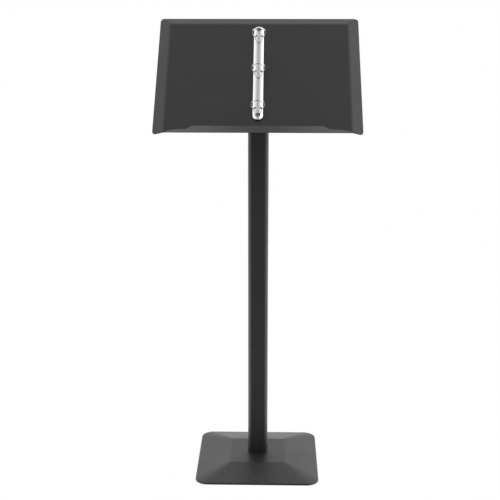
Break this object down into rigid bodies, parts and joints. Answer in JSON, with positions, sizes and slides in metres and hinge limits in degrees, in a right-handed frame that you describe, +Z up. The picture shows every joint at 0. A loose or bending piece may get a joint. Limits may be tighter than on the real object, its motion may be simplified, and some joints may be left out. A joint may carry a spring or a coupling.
{
  "type": "music stand",
  "caption": "Free-standing music stand: weighted pyramid base, square post and a tilted sheet-steel tray with a page lip and a ring binder mechanism whose rings snap open.",
  "frame": {"origin": "on the floor under the centre of the base", "axes": "+Z up, reader on the -Y side, +X to the reader's right"},
  "size_m": [0.48, 0.304, 1.1064],
  "materials": {
    "powder_coat": "fine matt black powder coat",
    "chrome": "bright chrome plate",
    "plated_steel": "zinc plate",
    "black_steel": "black oxide on steel",
    "ballast_iron": "black-painted casting",
    "foot_rubber": "matt"
  },
  "bodies": {
    "stand": {"base_bolts": "plated_steel", "base_cover": "powder_coat", "base_washers": "plated_steel", "base_weight": "ballast_iron", "foot_front_left": "foot_rubber", "foot_front_right": "foot_rubber", "foot_rear_left": "foot_rubber", "foot_rear_right": "foot_rubber", "post_foot_plate": "powder_coat", "post_head_plate": "powder_coat", "post_tube": "powder_coat", "ring_cover": "chrome", "ring_rivet_bottom": "black_steel", "ring_rivet_top": "black_steel", "tray_nuts": "plated_steel", "tray_panel": "powder_coat", "tray_studs": "powder_coat", "tray_washers": "plated_steel"},
    "right_rings": {"ring_leaf_right": "plated_steel", "ring_top_right": "chrome", "ring_middle_right": "chrome", "ring_bottom_right": "chrome"},
    "left_rings": {"ring_leaf_left": "plated_steel", "ring_top_left": "chrome", "ring_middle_left": "chrome", "ring_bottom_left": "chrome"}
  },
  "joints": [
    {"name": "right_rings_open", "type": "hinge", "parent": "stand", "child": "right_rings", "pos_m": [0.01035, -0.01294, 0.98994], "axis": [0, 0.7071, 0.7071], "range_deg": [0, 18]},
    {"name": "left_rings_open", "type": "hinge", "parent": "stand", "child": "left_rings", "pos_m": [-0.01035, -0.01294, 0.98994], "axis": [0, -0.7071, -0.7071], "range_deg": [0, 18]}
  ],
  "couplings": [
    {"joint": "left_rings_open", "follows": "right_rings_open", "ratio": 1}
  ]
}
